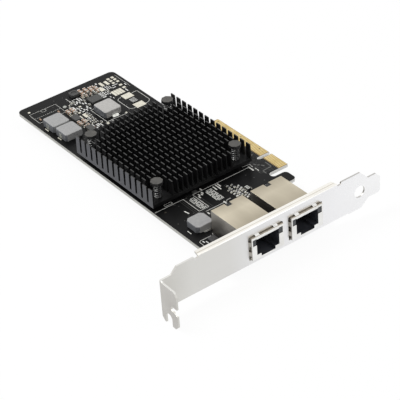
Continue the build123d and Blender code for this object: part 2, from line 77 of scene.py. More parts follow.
# places taken from the solids, or shared with them
FACE_Y = -57.6
SINK_LOW, SINK_HIGH = (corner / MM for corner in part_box("heatsink"))
SINK_X = (SINK_LOW.x + SINK_HIGH.x) / 2
SINK_HALF = (SINK_HIGH.x - SINK_LOW.x) / 2
SINK_TOP = SINK_HIGH.z
PIN_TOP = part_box("push_pin_1")[1].z / MM
PIN_HEAD_HEIGHT = 1.7
SHELL_SHEET = 0.3
# depth of the strip behind the bracket that gets painted shade
SHELL_LIP = 3.0
JACK_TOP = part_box("jack_housing_1")[1].z / MM + SHELL_SHEET
BRACKET_ENDS = (-105, 15)
FLANGE = (-84.7, -9.2)
# band along the flange's fold that gets a painted darker line
FLANGE_FOLD = (1.45, 1.95)
BOARD_LOW = -1.57
GOLD_X = -5.7
GOLD_Y = -13.0
POLISHED_X = -14.0
PALE_INDUCTOR_X = -50.0

# edge contacts: distance of the key, contacts behind and before it, and its gap to the first one
KEY_BACK = -FACE_Y
CONTACTS_BEHIND = 38
CONTACTS_BEFORE = 11
FIRST_CONTACT = 1.775
CONTACT_END = -5.2

# heights above the board and widths of printed lines
TRACE_TOP = 0.02
SILK_TOP = 0.03
PAD_TOP = 0.035
SOLDER_TOP = 0.2
FINE_LINE = 0.14
SILK_LINE = 0.22
THICK_LINE = 0.7
RUN_WIDTH = 0.22

# camera: viewing direction in degrees, target and distance in millimetres
VIEW_AZIMUTH = -34.363
VIEW_ELEVATION = 35.175
VIEW_ROLL = -4.601
VIEW_TARGET = (-50.08, -6.17, 0.0)
VIEW_DISTANCE = 740.2
LENS = 149.19
SENSOR = 36.0
SHIFT = (0.01855, 0.001)

# studio: strengths of light, and the floor's gap and reach in metres
SKY_LIGHT = 0.55
FLOOR_GLOW = 0.94
FLOOR_GREY = 0.45
FLOOR_GAP = 0.0002
FLOOR_REACH = 3.0
LAMP_AIM = (-0.04, 0.02, 0)

# share of a noise's range at either end that stays one tone
MARGIN = 0.3


# materials
def linear(level):
    """Screen level from 0 to 255 as linear light."""
    level /= 255
    return level / 12.92 if level <= 0.04045 else ((level + 0.055) / 1.055) ** 2.4


def colour(red, green, blue):
    """Colour from screen levels, as it goes into a material."""
    return (linear(red), linear(green), linear(blue), 1.0)


def new_material(name, rough, metallic=0.0, specular=0.5):
    material = bpy.data.materials.new(name)
    material.use_nodes = True
    shader = material.node_tree.nodes["Principled BSDF"]
    shader.inputs["Roughness"].default_value = rough
    shader.inputs["Metallic"].default_value = metallic
    shader.inputs["Specular IOR Level"].default_value = specular
    return material, material.node_tree, shader


def place(tree, stretch=(1, 1, 1)):
    """Place on the surface in metres, with a stretch for each axis."""
    coords = tree.nodes.new("ShaderNodeTexCoord")
    mapping = tree.nodes.new("ShaderNodeMapping")
    mapping.inputs["Scale"].default_value = stretch
    tree.links.new(coords.outputs["Object"], mapping.inputs["Vector"])
    return mapping.outputs["Vector"]


def noise(tree, scale, detail=3.0, stretch=(1, 1, 1)):
    texture = tree.nodes.new("ShaderNodeTexNoise")
    texture.inputs["Scale"].default_value = scale
    texture.inputs["Detail"].default_value = detail
    tree.links.new(place(tree, stretch), texture.inputs["Vector"])
    return texture.outputs["Fac"]


def cells(tree, scale, stretch=(1, 1, 1)):
    texture = tree.nodes.new("ShaderNodeTexVoronoi")
    texture.inputs["Scale"].default_value = scale
    tree.links.new(place(tree, stretch), texture.inputs["Vector"])
    return texture.outputs["Distance"]


def ramp(tree, factor, stops):
    """Colour that runs through stops, each a share of the factor and a colour."""
    node = tree.nodes.new("ShaderNodeValToRGB")
    band = node.color_ramp
    while len(band.elements) < len(stops):
        band.elements.new(0.5)
    for element, (share, value) in zip(band.elements, stops):
        element.position = share
        element.color = value
    tree.links.new(factor, node.inputs["Fac"])
    return node.outputs["Color"]


def tones(tree, factor, *stops):
    """The same with screen levels in place of colours."""
    return ramp(tree, factor, [(share, colour(*levels)) for share, levels in stops])


def mottled(tree, factor, dark, light, margin=MARGIN):
    """Colour between a dark and a light one, given as screen levels."""
    return tones(tree, factor, (margin, dark), (1 - margin, light))


def spread(tree, factor, low, high):
    """Number between two limits that follows the factor."""
    node = tree.nodes.new("ShaderNodeMapRange")
    node.inputs["From Min"].default_value = MARGIN
    node.inputs["From Max"].default_value = 1 - MARGIN
    node.inputs["To Min"].default_value = low
    node.inputs["To Max"].default_value = high
    tree.links.new(factor, node.inputs["Value"])
    return node.outputs["Result"]


def relief(tree, shader, factor, height, strength=1.0):
    """Shallow bumps of a height in millimetres."""
    node = tree.nodes.new("ShaderNodeBump")
    node.inputs["Strength"].default_value = strength
    node.inputs["Distance"].default_value = height * MM
    tree.links.new(factor, node.inputs["Height"])
    tree.links.new(node.outputs["Normal"], shader.inputs["Normal"])


def paint(tree, shader, tone, factor, low, high):
    """Give the shader its colour, and a roughness that follows the factor."""
    tree.links.new(tone, shader.inputs["Base Color"])
    tree.links.new(spread(tree, factor, low, high), shader.inputs["Roughness"])


def blended(tree, factor, first, second):
    node = tree.nodes.new("ShaderNodeMix")
    node.data_type = "RGBA"
    tree.links.new(factor, node.inputs["Factor"])
    tree.links.new(first, node.inputs["A"])
    tree.links.new(second, node.inputs["B"])
    return node.outputs["Result"]


def two_tone(name, dark, light, rough, metallic=0.0, specular=0.5, scale=300.0, grain=1500.0,
             height=0.01, stretch=(1, 1, 1)):
    """Material with a soft variation between two colours, uneven gloss and a fine grain."""
    material, tree, shader = new_material(name, rough[0], metallic, specular)
    broad = noise(tree, scale, 4.0, stretch)
    paint(tree, shader, mottled(tree, broad, dark, light, 0.32), broad, *rough)
    relief(tree, shader, noise(tree, grain, 2.0, stretch), height)
    return material


def arithmetic(tree, operation, first, second=0.0):
    node = tree.nodes.new("ShaderNodeMath")
    node.operation = operation
    for socket, value in zip(node.inputs, (first, second)):
        if isinstance(value, float):
            socket.default_value = value
        else:
            tree.links.new(value, socket)
    return node.outputs[0]


def above(tree, factor, limit):
    return arithmetic(tree, "GREATER_THAN", factor, limit)


def below(tree, factor, limit):
    return arithmetic(tree, "LESS_THAN", factor, limit)


def both(tree, first, second):
    return arithmetic(tree, "MULTIPLY", first, second)


def magnitude(tree, factor):
    return arithmetic(tree, "ABSOLUTE", factor)


def axis_of(tree, vector, axis):
    split = tree.nodes.new("ShaderNodeSeparateXYZ")
    tree.links.new(vector, split.inputs["Vector"])
    return split.outputs[axis]


def facing(tree, axis):
    """How far the surface faces along one axis of the card."""
    geometry = tree.nodes.new("ShaderNodeNewGeometry")
    return axis_of(tree, geometry.outputs["Normal"], axis)


def position(tree, axis):
    """Place of the surface along one axis of the card, in metres."""
    return axis_of(tree, place(tree), axis)


def past(tree, axis, limit):
    """1 where the surface lies beyond a place on one axis, given in millimetres."""
    return above(tree, position(tree, axis), limit * MM)


def short_of(tree, axis, limit):
    """1 where the surface lies before a place on one axis, given in millimetres."""
    return below(tree, position(tree, axis), limit * MM)


def between(tree, axis, low, high):
    return both(tree, past(tree, axis, low), short_of(tree, axis, high))


def share_of(tree, axis, low, high):
    """Place along one axis as a share from 0 to 1 between two values in millimetres."""
    node = tree.nodes.new("ShaderNodeMapRange")
    node.inputs["From Min"].default_value = low * MM
    node.inputs["From Max"].default_value = high * MM
    tree.links.new(position(tree, axis), node.inputs["Value"])
    return node.outputs["Result"]


def board_material():
    """Black mask on the faces, pale laminate on the cut edges and bare laminate under the gold."""
    material, tree, shader = new_material("solder_mask", 0.38, specular=0.1)
    copper = cells(tree, 260.0, (1, 1, 0.01))
    broad = noise(tree, 60.0)
    mask = mottled(tree, broad, (9, 9, 10), (20, 20, 20))
    bare = mottled(tree, broad, (150, 124, 78), (172, 146, 98))
    layers = noise(tree, 900.0, 2.0, (0.05, 0.05, 1.5))
    laminate = mottled(tree, layers, (186, 186, 180), (222, 222, 216), 0.35)
    polished = mottled(tree, layers, (246, 245, 241), (254, 254, 252), 0.35)
    tongue = both(tree, past(tree, "X", GOLD_X), past(tree, "Y", GOLD_Y))
    face = blended(tree, tongue, mask, bare)
    edge = blended(tree, past(tree, "X", POLISHED_X), laminate, polished)
    flat = above(tree, magnitude(tree, facing(tree, "Z")), 0.5)
    paint(tree, shader, blended(tree, flat, edge, face), broad, 0.3, 0.44)
    relief(tree, shader, copper, 0.012, 0.5)
    return material


def bracket_material():
    """Satin nickel plate with painted light: a painted sheen brightens the face towards the
    tongue, the flange has painted highlights and a painted darker line in its fold, and faces
    towards -X have painted shade.
    """
    material, tree, shader = new_material("nickel_plate", 0.36, metallic=1.0)
    cloud = noise(tree, 55.0, 4.0, (0.35, 1, 1))
    along = share_of(tree, "X", *BRACKET_ENDS)
    # painted sheen: the face is painted brighter along the bracket towards the tongue
    face_painted_sheen = tones(tree, along, (0.04, (206, 204, 198)), (0.14, (222, 221, 217)),
                  (0.3, (224, 223, 220)), (0.42, (234, 234, 235)), (0.8, (246, 246, 248)),
                  (1.0, (250, 250, 251)))
    worn = mottled(tree, cloud, (214, 213, 210), (246, 246, 245))
    face = blended(tree, arithmetic(tree, "MULTIPLY", cloud, 0.3), face_painted_sheen, worn)
    # painted shade: faces towards -X get a darker copy of the plate
    side = mottled(tree, cloud, (184, 181, 176), (204, 202, 198))
    # painted highlight: the flange's upward faces get a brighter copy of the plate
    top = mottled(tree, cloud, (236, 233, 226), (248, 246, 240))
    # painted shade: a darker line along the fold of the flange
    fold_painted_shade = mottled(tree, cloud, (206, 200, 188), (222, 217, 207))
    painted_fold_band = between(tree, "Y", FACE_Y + FLANGE_FOLD[0], FACE_Y + FLANGE_FOLD[1])
    # painted light on the upward cut edges, fading along the bracket
    cut_edge_painted_light = tones(tree, along, (0.1, (222, 221, 217)), (0.2, (212, 211, 207)),
                     (0.8, (190, 188, 185)))
    flange = blended(tree, between(tree, "X", *FLANGE), cut_edge_painted_light,
                     blended(tree, painted_fold_band, top, fold_painted_shade))
    upward = above(tree, facing(tree, "Z"), 0.6)
    leftward = below(tree, facing(tree, "X"), -0.7)
    tone = blended(tree, leftward, blended(tree, upward, face, flange), side)
    paint(tree, shader, tone, cloud, 0.3, 0.42)
    relief(tree, shader, noise(tree, 2600.0, 2.0, (0.35, 1, 1)), 0.006)
    return material


def shell_material():
    """Satin tin plate, warmer on the roof, with painted light: a painted sheen along the roof,
    painted highlights on the folded front and its sprung fingers, and painted shade on the walls,
    on the strip behind the bracket and in the hollows below the roof.
    """
    material, tree, shader = new_material("tin_plate", 0.36, metallic=1.0)
    cloud = noise(tree, 110.0, 4.0, (1, 0.4, 1))
    # painted shade: the upright walls get a darker copy of the plate than the roof
    wall = mottled(tree, cloud, (150, 146, 140), (176, 172, 165))
    # painted sheen along the roof: dimmer near the front, brightest two thirds of the way along,
    # dimmer again further back
    near = mottled(tree, cloud, (164, 155, 137), (182, 173, 154))
    far = mottled(tree, cloud, (196, 187, 167), (212, 203, 183))
    # painted highlight on the faces towards the front and on the raised fingers
    front = mottled(tree, cloud, (230, 229, 226), (246, 246, 244))
    shade = mottled(tree, cloud, (5, 5, 5), (10, 10, 10))
    # painted shade from the bracket on the strip of roof just behind it
    lip_painted_shade = mottled(tree, cloud, (140, 133, 121), (160, 152, 139))
    along = ramp(tree, share_of(tree, "Y", FACE_Y + 8, FACE_Y + 26), [
        (0.0, (0, 0, 0, 1)), (0.66, (1, 1, 1, 1)), (1.0, (0.3, 0.3, 0.3, 1))])
    roof = blended(tree, along, near, far)
    sunk = short_of(tree, "Z", JACK_TOP - SHELL_SHEET / 2)
    lip = short_of(tree, "Y", FACE_Y + SHELL_LIP)
    plate = blended(tree, lip, blended(tree, sunk, roof, shade), lip_painted_shade)
    plain = blended(tree, above(tree, facing(tree, "Z"), 0.6), wall, plate)
    raised = past(tree, "Z", JACK_TOP + 0.06)
    # where the painted highlight goes: faces towards the front, and the raised fingers
    bright = arithmetic(tree, "MAXIMUM", below(tree, facing(tree, "Y"), -0.6),
                        arithmetic(tree, "MULTIPLY", raised, 0.9))
    paint(tree, shader, blended(tree, bright, plain, front), cloud, 0.28, 0.42)
    relief(tree, shader, noise(tree, 2200.0, 2.0, (1, 0.4, 1)), 0.006)
    return material


def ferrite_material():
    """Pressed grey powder with painted shade on the upright sides that face -X, and paler on the
    inductor by the pads.
    """
    material, tree, shader = new_material("pressed_ferrite", 0.5)
    cloud = noise(tree, 1100.0, 4.0)
    plain = mottled(tree, cloud, (152, 152, 152), (166, 166, 165), 0.32)
    pale = mottled(tree, cloud, (172, 170, 167), (186, 184, 181), 0.32)
    # painted shade on the sides that face -X
    flank_painted_shade = mottled(tree, cloud, (98, 100, 104), (112, 114, 118), 0.32)
    top = blended(tree, past(tree, "X", PALE_INDUCTOR_X), plain, pale)
    leftward = below(tree, facing(tree, "X"), -0.6)
    paint(tree, shader, blended(tree, leftward, top, flank_painted_shade), cloud, 0.4, 0.55)
    relief(tree, shader, noise(tree, 2600.0, 2.0), 0.02)
    return material


def heatsink_material():
    """Black anodised aluminium with painted light: the fin tops and the two outer walls are
    painted paler than the dark walls, as if lit.
    """
    material, tree, shader = new_material("black_anodised", 0.45, specular=0.3)
    cloud = noise(tree, 240.0, 4.0, (1, 1, 0.2))
    wall = mottled(tree, cloud, (7, 7, 8), (13, 13, 14))
    # painted light: the fin tops are painted paler
    fin_top_painted_light = mottled(tree, cloud, (50, 50, 50), (74, 74, 73))
    # painted light: the two outer walls are painted paler
    outer = mottled(tree, cloud, (70, 71, 75), (88, 89, 94))
    top = both(tree, past(tree, "Z", SINK_TOP - 0.1), above(tree, facing(tree, "Z"), 0.6))
    off_middle = arithmetic(tree, "SUBTRACT", position(tree, "X"), SINK_X * MM)
    edge = both(tree, above(tree, magnitude(tree, facing(tree, "X")), 0.9),
                above(tree, magnitude(tree, off_middle), (SINK_HALF - 0.5) * MM))
    tone = blended(tree, edge, blended(tree, top, wall, fin_top_painted_light), outer)
    paint(tree, shader, tone, cloud, 0.38, 0.52)
    relief(tree, shader, noise(tree, 3600.0, 2.0, (1, 1, 0.2)), 0.01)
    return material


def pin_material():
    """Dark nylon, nearly black down the shaft, with painted light that makes the flat top of the
    head paler.
    """
    material, tree, shader = new_material("pin_nylon", 0.5)
    cloud = noise(tree, 380.0)
    shaft = mottled(tree, cloud, (16, 16, 17), (26, 26, 27))
    # painted light: the flat top of the head is a paler copy of the nylon
    head = mottled(tree, cloud, (56, 55, 52), (80, 78, 74))
    top = both(tree, past(tree, "Z", PIN_TOP - PIN_HEAD_HEIGHT),
               above(tree, facing(tree, "Z"), 0.35))
    paint(tree, shader, blended(tree, top, shaft, head), cloud, 0.42, 0.58)
    relief(tree, shader, noise(tree, 2600.0, 2.0), 0.014)
    return material


def spring_material():
    """Steel wire painted dark as a painted reflection of the dark heatsink round it, with a
    painted highlight where each turn faces along the bracket.
    """
    material, tree, shader = new_material("spring_steel", 0.3, metallic=1.0)
    cloud = noise(tree, 900.0)
    # painted reflection: the wire is painted dark, as it would mirror the dark heatsink round it
    dark_painted_reflection = mottled(tree, cloud, (60, 60, 61), (96, 96, 97))
    # painted highlight on the turns that face along the bracket
    bright = mottled(tree, cloud, (196, 196, 194), (236, 236, 234))
    sideways = above(tree, magnitude(tree, facing(tree, "X")), 0.5)
    paint(tree, shader, blended(tree, sideways, dark_painted_reflection, bright), cloud, 0.24, 0.36)
    return material


def window_material():
    """Smoky clear plastic."""
    material, tree, shader = new_material("smoky_window", 0.18)
    shader.inputs["Transmission Weight"].default_value = 0.35
    cloud = noise(tree, 500.0, 2.0)
    paint(tree, shader, mottled(tree, cloud, (70, 74, 78), (104, 108, 112)), cloud, 0.15, 0.28)
    return material


LOOKS = {
    "board": board_material(),
    "trace": two_tone("masked_copper", (56, 56, 55), (76, 76, 74), (0.3, 0.4), specular=0.2),
    "ground": two_tone("raised_copper", (92, 92, 90), (116, 116, 112), (0.3, 0.4)),
    "gold": two_tone("gold_plate", (214, 190, 128), (236, 216, 160), (0.22, 0.36), 1.0,
                     scale=180.0, grain=4000.0, height=0.004, stretch=(0.15, 1, 1)),
    "nickel": bracket_material(),
    "shell": shell_material(),
    "housing": two_tone("black_nylon", (46, 48, 54), (60, 62, 69), (0.42, 0.58),
                        scale=220.0, grain=3200.0, height=0.012),
    "block": two_tone("sealed_block", (16, 16, 17), (26, 26, 28), (0.42, 0.58),
                      scale=220.0, grain=3200.0, height=0.012),
    "window": window_material(),
    "sink": heatsink_material(),
    "ferrite": ferrite_material(),
    "chip": two_tone("moulded_epoxy", (54, 54, 53), (72, 72, 70), (0.5, 0.68),
                     scale=500.0, grain=4200.0, height=0.012),
    "pad": two_tone("thermal_pad", (150, 154, 160), (176, 180, 184), (0.7, 0.85),
                    scale=400.0, height=0.03),
    "pin": pin_material(),
    "steel": spring_material(),
    "screw": two_tone("zinc_plate", (176, 176, 172), (206, 206, 203), (0.25, 0.4), 1.0,
                      scale=600.0, grain=5000.0, height=0.004),
    "solder": two_tone("solder", (214, 214, 210), (246, 246, 243), (0.2, 0.4), 1.0,
                       scale=1100.0, grain=2600.0, height=0.03),
    "tinned": two_tone("tinned_pad", (206, 202, 186), (234, 230, 216), (0.35, 0.55), 0.3,
                       scale=900.0, grain=2600.0, height=0.02),
    "can": two_tone("grey_can", (136, 138, 132), (186, 188, 182), (0.3, 0.45), 0.4,
                    scale=1400.0, grain=2600.0, height=0.02),
    "ceramic": two_tone("ceramic", (142, 114, 94), (176, 148, 126), (0.4, 0.6),
                        scale=900.0, grain=4000.0),
    "resistor": two_tone("resistor_glass", (28, 28, 30), (52, 52, 54), (0.3, 0.45),
                         scale=900.0, grain=4000.0, height=0.008),
    "silk": two_tone("printed_ink", (208, 208, 202), (242, 242, 236), (0.6, 0.8),
                     scale=1400.0, grain=5000.0, height=0.006),
    # painted shade: the dark discs stand for open holes, whose darkness is shade
    "dark": two_tone("plated_hole", (20, 18, 14), (64, 56, 40), (0.5, 0.7),
                     scale=1400.0, grain=5000.0, height=0.006),
}


# mesh making
def at(x, back, z=0.0):
    """Point in metres from an X, a distance back from the bracket face and a height."""
    return Vector((x * MM, (FACE_Y + back) * MM, z * MM))


def corners(left, right, near, far):
    """Closed path round a rectangle, in plan."""
    return [(left, near), (right, near), (right, far), (left, far), (left, near)]


class Pieces:
    """Many small solids of one material, gathered into one object."""

    def __init__(self, name, look, slot, bevel=0.0, replaces=()):
        self.name, self.look, self.slot = name, look, slot
        self.bevel, self.replaces = bevel, replaces
        self.mesh = bmesh.new()

    def box(self, x, back, width, length, low, high, turn=0.0):
        matrix = Matrix.Translation(at(x, back, (low + high) / 2))
        matrix = matrix @ Matrix.Rotation(turn, 4, "Z")
        matrix = matrix @ Matrix.Diagonal((width * MM, length * MM, (high - low) * MM, 1))
        bmesh.ops.create_cube(self.mesh, size=1, matrix=matrix)

    def disc(self, x, back, radius, low, high, sides=16, top=None):
        """Upright cylinder, or a cone when its top has a radius of its own."""
        matrix = Matrix.Translation(at(x, back, (low + high) / 2))
        bmesh.ops.create_cone(self.mesh, cap_ends=True, segments=sides, radius1=radius * MM,
                              radius2=(radius if top is None else top) * MM,
                              depth=(high - low) * MM, matrix=matrix)

    def line(self, points, width, low, high):
        """Strip along straight runs, in plan."""
        for (x0, y0), (x1, y1) in zip(points, points[1:]):
            length = math.hypot(x1 - x0, y1 - y0)
            turn = math.atan2(y1 - y0, x1 - x0)
            self.box((x0 + x1) / 2, (y0 + y1) / 2, length + width, width, low, high, turn)

    def skin(self, rings):
        """Solid through rings of points, closed at both ends."""
        rings = [[self.mesh.verts.new(point) for point in ring] for ring in rings]
        sides = len(rings[0])
        for first, second in zip(rings, rings[1:]):
            for step in range(sides):
                after = (step + 1) % sides
                self.mesh.faces.new((first[step], first[after], second[after], second[step]))
        self.mesh.faces.new(list(reversed(rings[0])))
        self.mesh.faces.new(rings[-1])

    def tube(self, points, radius, sides=8):
        """Round wire along a path of points in metres."""
        rings = []
        for index, point in enumerate(points):
            before = points[max(index - 1, 0)]
            after = points[min(index + 1, len(points) - 1)]
            ahead = (after - before).normalized()
            side = ahead.cross(Vector((0, 0, 1))).normalized()
            up = side.cross(ahead).normalized()
            ring = []
            for step in range(sides):
                angle = math.tau * step / sides
                offset = (side * math.cos(angle) + up * math.sin(angle)) * radius * MM
                ring.append(point + offset)
            rings.append(ring)
        self.skin(rings)

    def lathe(self, x, back, profile, sides=32):
        """Solid of revolution round an upright axis, from (radius, height) pairs."""
        rings = []
        for radius, height in profile:
            ring = []
            for step in range(sides):
                angle = math.tau * step / sides
                ring.append(at(x + radius * math.cos(angle),
                               back + radius * math.sin(angle), height))
            rings.append(ring)
        self.skin(rings)

    def done(self, smooth=False):
        """Turn the solids into an object with its look and place in the frame."""
        bmesh.ops.recalc_face_normals(self.mesh, faces=self.mesh.faces)
        data = bpy.data.meshes.new(self.name)
        self.mesh.to_mesh(data)
        self.mesh.free()
        thing = bpy.data.objects.new(self.name, data)
        bpy.context.scene.collection.objects.link(thing)
        data.materials.append(LOOKS[self.look])
        for face in data.polygons:
            face.use_smooth = smooth
        if self.bevel:
            soften(thing, self.bevel, weld=False)
        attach(thing, "root")
        if self.replaces:
            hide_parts(*self.replaces)
        return thing


def soften(thing, width, weld=True):
    """Small rounded edges."""
    if weld:
        join = thing.modifiers.new("join", "WELD")
        join.merge_threshold = 0.002 * MM
    edge = thing.modifiers.new("edge", "BEVEL")
    edge.width = width * MM
    edge.segments = 2
    edge.limit_method = "ANGLE"
    edge.angle_limit = math.radians(35)
    edge.harden_normals = True


def dress(node, look, bevel=0.0):
    thing = NODES[node]
    thing.data.materials.clear()
    thing.data.materials.append(LOOKS[look])
    if bevel:
        soften(thing, bevel)


def dress_frame():
    dress("circuit_board", "board")
    dress("edge_contacts", "gold")
    dress("bracket", "nickel", 0.12)
    dress("controller_chip", "chip", 0.1)
    dress("thermal_pad", "pad", 0.05)
    dress("heatsink", "sink", 0.03)
    for number in range(1, 5):
        dress(f"inductor_{number}", "ferrite", 0.12)
        dress(f"push_pin_{number}", "pin", 0.06)
    for node in ("regulator_1", "regulator_2", "power_controller", "oscillator"):
        dress(node, "chip", 0.08)
    for number in (1, 2):
        dress(f"jack_shell_{number}", "shell", 0.06)
        dress(f"jack_housing_{number}", "housing", 0.08)
        dress(f"jack_contacts_{number}", "gold")
        dress(f"jack_magnetics_{number}", "block", 0.1)
        dress(f"jack_tails_{number}", "solder")
        for side in ("left", "right"):
            dress(f"led_window_{number}_{side}", "window", 0.1)


# springs: turns, wire radius, points to a turn, and how much closer the end turns lie
COIL_TURNS = 8.5
COIL_WIRE = 0.17
COIL_STEPS = 20
COIL_CLOSING = 0.09

# bracket screws: X and distance back
SCREW_AXES = [(-63.43, 7.0), (-15.5, 7.0)]

# screw outline from the tip up, as radius and height: its tip, one ridge of thread, its head
SCREW_TIP = [(0.4, -3.0), (1.3, -2.95)]
THREAD_RIDGE = [(1.5, -2.8), (1.3, -2.73)]
THREAD_PITCH = 0.18
THREAD_RIDGES = 7
SCREW_HEAD = [(1.48, -1.5), (1.48, 0.0), (2.55, 0.02), (2.6, 0.5), (2.5, 1.0), (2.15, 1.4),
              (1.5, 1.62), (0.9, 1.68), (0.2, 1.7)]

# cross recess: length and width of each slot, its floor, a height above the head and its turn
RECESS_LENGTH = 2.6
RECESS_WIDTH = 0.6
RECESS_LOW = 0.8
RECESS_HIGH = 2.0
RECESS_TURN = math.radians(20)


def middle_of(node):
    """Middle, low corner and high corner of a node, in millimetres."""
    low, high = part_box(node)
    return (low + high) / 2 / MM, low / MM, high / MM


def coil_springs():
    """Wound wire in place of the plain sleeves, its turns closer at both ends."""
    for number in range(1, 5):
        node = f"push_pin_spring_{number}"
        middle, low, high = middle_of(node)
        radius = (high.x - low.x) / 2 - COIL_WIRE
        bottom, top = low.z + COIL_WIRE, high.z - COIL_WIRE
        back = middle.y - FACE_Y
        steps = int(COIL_TURNS * COIL_STEPS)
        points = []
        for step in range(steps + 1):
            share = step / steps
            turn = math.tau * COIL_TURNS * share
            eased = share - COIL_CLOSING * math.sin(math.tau * share)
            points.append(at(middle.x + radius * math.cos(turn), back + radius * math.sin(turn),
                             bottom + (top - bottom) * eased))
        spring = Pieces(f"coil_spring_{number}", "steel", "spring_steel", replaces=(node,))
        spring.tube(points, COIL_WIRE)
        spring.done(smooth=True)


def recess_cutter():
    cutter = Pieces("recess_cutter", "screw", "screw")
    for x, back in SCREW_AXES:
        for width, length in ((RECESS_LENGTH, RECESS_WIDTH), (RECESS_WIDTH, RECESS_LENGTH)):
            cutter.box(x, back, width, length, RECESS_LOW, RECESS_HIGH, RECESS_TURN)
    return cutter.done()


def bracket_screws():
    """Threaded screws with a cross recess, in place of the plain ones."""
    outline = list(SCREW_TIP)
    for ridge in range(THREAD_RIDGES):
        outline += [(radius, height + ridge * THREAD_PITCH) for radius, height in THREAD_RIDGE]
    outline += SCREW_HEAD
    screws = Pieces("machine_screws", "screw", "screw", replaces=("bracket_screws",))
    for x, back in SCREW_AXES:
        screws.lathe(x, back, outline)
    body = screws.done(smooth=True)
    cutter = recess_cutter()
    cut = body.modifiers.new("recess", "BOOLEAN")
    cut.operation = "DIFFERENCE"
    cut.solver = "EXACT"
    cut.use_self = True
    cut.object = cutter
    bpy.context.view_layer.update()
    graph = bpy.context.evaluated_depsgraph_get()
    shaped = bpy.data.meshes.new_from_object(body.evaluated_get(graph))
    body.modifiers.remove(cut)
    body.data = shaped
    bpy.data.objects.remove(cutter)
    for face in shaped.polygons:
        face.use_smooth = False


# chip parts: how many ends shorter the body is than the part, its width and height as a share
# of theirs, the gap under it, and how much wider the pads are
BODY_SHORTER = 1.6
BODY_SHARE = 0.96
BODY_GAP = 0.02
PAD_MARGIN = 0.2
VIA_RADIUS = 0.3
VIA_SIDES = 10


class Populated:
    """The batches that small board parts are added to."""

    def __init__(self):
        self.ends = Pieces("solder_ends", "solder", "tinned_wire", 0.05)
        self.ceramic = Pieces("ceramic_bodies", "ceramic", "ceramic", 0.05)
        self.resistor = Pieces("resistor_bodies", "resistor", "chip", 0.04)
        self.chips = Pieces("small_chips", "chip", "grey_chip", 0.06)
        self.pads = Pieces("solder_pads", "tinned", "tinned_wire")
        self.silk = Pieces("printed_marks", "silk", "window")
        self.traces = Pieces("masked_traces", "trace", "board")
        self.ground = Pieces("edge_traces", "ground", "board")
        self.holes = Pieces("plated_holes", "dark", "gold")
        self.cans = Pieces("small_cans", "can", "grey_chip")
        self.plates = Pieces("inductor_terminals", "can", "tinned_wire")

    def array_chip(self, x, back, width, length, height):
        """Grey chip with a fine grid of marks on its top."""
        self.chips.box(x, back, width, length, 0, height)
        for column in range(5):
            for row in range(6):
                self.ends.box(x + (column - 2) * width / 5.4, back + (row - 2.5) * length / 6.4,
                              width / 11, length / 13, height, height + 0.03)

    def round_can(self, x, back, radius, height):
        """Small round can with a rolled top edge."""
        self.cans.lathe(x, back, [(radius * 0.9, 0), (radius, 0.15), (radius, height - 0.3),
                                  (radius * 0.85, height), (radius * 0.2, height - 0.04)], 24)

    def chip(self, body, x, back, width, length, height, down=False, ends=0.27, grow=0.35):
        """Chip part with a metal end at each end of its longer side, on pads that grow past it."""
        def turned(along, across):
            return (along, across) if width > length else (across, along)

        def levels(low, high):
            return (BOARD_LOW - high, BOARD_LOW - low) if down else (low, high)

        long_side, short_side = max(width, length), min(width, length)
        end = long_side * ends
        body.box(x, back, *turned(long_side - BODY_SHORTER * end, short_side * BODY_SHARE),
                 *levels(BODY_GAP, height * BODY_SHARE))
        for side in (-1, 1):
            aside, behind = turned(side * (long_side - end) / 2, 0)
            self.ends.box(x + aside, back + behind, *turned(end, short_side),
                          *levels(0, height))
            self.pads.box(x + aside, back + behind,
                          *turned(end + grow, short_side + PAD_MARGIN), *levels(0, PAD_TOP))

    def via(self, x, back, low, high):
        """Small masked disc of copper round a hole."""
        self.traces.disc(x, back, VIA_RADIUS, low, high, VIA_SIDES)

    def done(self):
        for batch in (self.ends, self.ceramic, self.resistor, self.chips, self.pads, self.silk,
                      self.traces, self.ground, self.holes, self.plates):
            batch.done()
        self.cans.done(smooth=True)


# the large ceramic capacitors of the frame: X, distance back, width, length, height
LARGE_CAPACITORS = [
    (-50.9, 150.6, 1.5, 4.0, 1.3),
    (-48.6, 150.6, 1.5, 4.0, 1.3),
    (-52.2, 138.6, 1.5, 3.8, 1.3),
    (-49.6, 138.6, 1.5, 3.8, 1.3),
    (-36.2, 161.6, 1.5, 5.4, 1.4),
    (-33.4, 161.6, 1.6, 4.4, 1.4),
    (-31.0, 160.6, 1.6, 4.4, 1.4),
    (-28.6, 159.6, 1.6, 4.4, 1.4),
]


def large_capacitors(parts):
    """Two capacitors end to end in each place of the frame's large ones."""
    bodies = Pieces("large_capacitors", "ceramic", "ceramic", 0.08, replaces=("capacitors",))
    for x, back, width, length, height in LARGE_CAPACITORS:
        for side in (-1, 1):
            parts.chip(bodies, x, back + side * length / 4, width, length * 0.45, height,
                       ends=0.14, grow=0.05)
    bodies.done()


